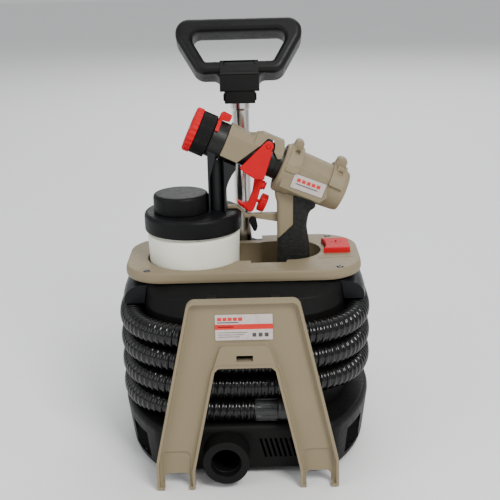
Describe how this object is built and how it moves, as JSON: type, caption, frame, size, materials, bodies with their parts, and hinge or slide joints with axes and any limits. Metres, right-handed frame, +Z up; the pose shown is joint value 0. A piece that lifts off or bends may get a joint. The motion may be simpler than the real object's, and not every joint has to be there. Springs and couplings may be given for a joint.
{
  "type": "turbine paint sprayer",
  "caption": "Floor-standing turbine paint sprayer on wheels with a hose drum, telescopic handle, folding front stand and a cup spray gun parked in the top tray.",
  "frame": {"origin": "on the floor under the middle of the sprayer's footprint", "axes": "+Z up, -Y towards the front stand and the air outlet, +X to the right seen from the front (the cup is on the -X side)"},
  "size_m": [0.2978, 0.333, 0.4905],
  "materials": {
    "black_plastic": "fine-grained black moulded plastic",
    "gloss_black": "glossy black hose plastic",
    "dark_plastic": "dark grey moulded plastic",
    "tan_plastic": "fine-grained khaki plastic",
    "red_plastic": "satin red plastic",
    "jar_plastic": "milky translucent plastic",
    "paper": "printed film label",
    "rubber": "black rubber",
    "steel": "machined steel",
    "chrome": "polished chrome tube",
    "stator": "varnished windings on a laminated core",
    "cast_aluminium": "cast fan wheel"
  },
  "bodies": {
    "base": {"base_housing": "black_plastic", "base_plate": "black_plastic", "intake_grille_left": "black_plastic", "intake_grille_right": "black_plastic", "drum_shell": "black_plastic", "hose_shoulder": "black_plastic", "tray": "tan_plastic", "air_outlet": "black_plastic", "fan_housing": "dark_plastic", "motor_stator": "stator", "motor_mount": "black_plastic", "outlet_duct": "dark_plastic", "guide_tube": "black_plastic", "tube_clamp": "black_plastic", "wheel_axle": "steel", "cable_gland": "rubber", "switch_body": "dark_plastic", "foot_left": "rubber", "foot_right": "rubber", "tray_screw_1": "steel", "tray_screw_2": "steel", "tray_screw_3": "steel", "tray_screw_4": "steel", "air_hose": "gloss_black", "hose_cuff_front": "dark_plastic", "hose_cuff_rear": "dark_plastic"},
    "front_stand": {"front_bracket": "tan_plastic", "rating_plate": "paper"},
    "left_wheel": {"wheel_left": "rubber"},
    "right_wheel": {"wheel_right": "rubber"},
    "mid_tube": {"middle_tube": "chrome"},
    "handle": {"handle_tube": "chrome", "grip_ring": "black_plastic"},
    "handle_release": {"release_button": "dark_plastic"},
    "power_switch": {"power_button": "red_plastic"},
    "turbine_rotor": {"impeller": "cast_aluminium", "motor_armature": "steel"},
    "gun": {"gun_barrel": "black_plastic", "front_cover": "tan_plastic", "rear_housing": "tan_plastic", "handle_frame": "tan_plastic", "grip_sleeve": "black_plastic", "feed_stem": "black_plastic", "cup_lid": "black_plastic", "suction_tube": "jar_plastic", "fluid_nozzle": "steel", "trigger_pin": "steel", "gun_inlet": "black_plastic", "gun_plate": "paper"},
    "spray_cap": {"air_cap": "black_plastic", "air_cap_ring": "red_plastic"},
    "union_nut": {"nozzle_collar": "black_plastic"},
    "fan_lever": {"pattern_lever": "red_plastic"},
    "trigger_lever": {"trigger": "red_plastic"},
    "flow_knob": {"flow_wheel": "red_plastic"},
    "fluid_needle": {"needle": "steel"},
    "latch": {"strut_latch": "dark_plastic"},
    "cap": {"filler_cap": "black_plastic"},
    "jar": {"paint_jar": "jar_plastic"}
  },
  "joints": [
    {"name": "stand_swing", "type": "hinge", "parent": "base", "child": "front_stand", "pos_m": [0, -0.1335, 0.195], "axis": [-1, 0, 0], "range_deg": [0, 90]},
    {"name": "left_wheel_spin", "type": "hinge", "parent": "base", "child": "left_wheel", "pos_m": [-0.129, 0.13, 0.036], "axis": [1, 0, 0], "continuous": true},
    {"name": "right_wheel_spin", "type": "hinge", "parent": "base", "child": "right_wheel", "pos_m": [0.129, 0.13, 0.036], "axis": [1, 0, 0], "continuous": true},
    {"name": "mid_tube_slide", "type": "slide", "parent": "base", "child": "mid_tube", "axis": [0, 0, 1], "range_m": [0, 0.15]},
    {"name": "handle_slide", "type": "slide", "parent": "mid_tube", "child": "handle", "axis": [0, 0, 1], "range_m": [0, 0.15]},
    {"name": "release_press", "type": "slide", "parent": "handle", "child": "handle_release", "axis": [0, 0.8387, -0.5446], "range_m": [0, 0.0035], "stiffness_N_per_m": 400, "springref_m": -0.002},
    {"name": "power_press", "type": "slide", "parent": "base", "child": "power_switch", "axis": [0, 0, -1], "range_m": [0, 0.0025], "stiffness_N_per_m": 600, "springref_m": -0.002},
    {"name": "rotor_spin", "type": "hinge", "parent": "base", "child": "turbine_rotor", "pos_m": [0.02, -0.005, 0.034], "axis": [0, 0, 1], "continuous": true},
    {"name": "gun_lift", "type": "slide", "parent": "base", "child": "gun", "axis": [0, 0, 1], "range_m": [0, 0.1]},
    {"name": "air_cap_turn", "type": "hinge", "parent": "gun", "child": "spray_cap", "pos_m": [-0.05273, 0, 0.37225], "axis": [0.9063, 0, -0.4226], "range_deg": [-90, 90]},
    {"name": "union_nut_turn", "type": "hinge", "parent": "gun", "child": "union_nut", "pos_m": [-0.04366, 0, 0.36803], "axis": [0.9063, 0, -0.4226], "range_deg": [0, 180]},
    {"name": "fan_lever_turn", "type": "hinge", "parent": "gun", "child": "fan_lever", "pos_m": [-0.03188, 0, 0.36253], "axis": [0.9063, 0, -0.4226], "range_deg": [-45, 45]},
    {"name": "trigger_pull", "type": "hinge", "parent": "gun", "child": "trigger_lever", "pos_m": [0.0323, 0, 0.35489], "axis": [0, -1, 0], "range_deg": [0, 4.5], "stiffness_Nm_per_rad": 0.6, "springref_deg": -3.44},
    {"name": "flow_knob_turn", "type": "hinge", "parent": "trigger_lever", "child": "flow_knob", "pos_m": [0.02034, 0, 0.28522], "axis": [0.9063, 0, -0.4226], "continuous": true},
    {"name": "needle_slide", "type": "slide", "parent": "gun", "child": "fluid_needle", "axis": [0.9063, 0, -0.4226], "range_m": [0, 0.0016]},
    {"name": "latch_turn", "type": "hinge", "parent": "gun", "child": "latch", "pos_m": [0.012, -0.0078, 0.264], "axis": [0, 1, 0], "range_deg": [-50, 50]},
    {"name": "cap_lift", "type": "slide", "parent": "gun", "child": "cap", "axis": [0, 0, 1], "range_m": [0, 0.03]},
    {"name": "jar_unscrew", "type": "hinge", "parent": "gun", "child": "jar", "pos_m": [-0.0586, 0, 0.2], "axis": [0, 0, 1], "range_deg": [0, 90]}
  ],
  "couplings": [
    {"joint": "needle_slide", "follows": "trigger_pull", "m_per_rad": 0.017}
  ]
}
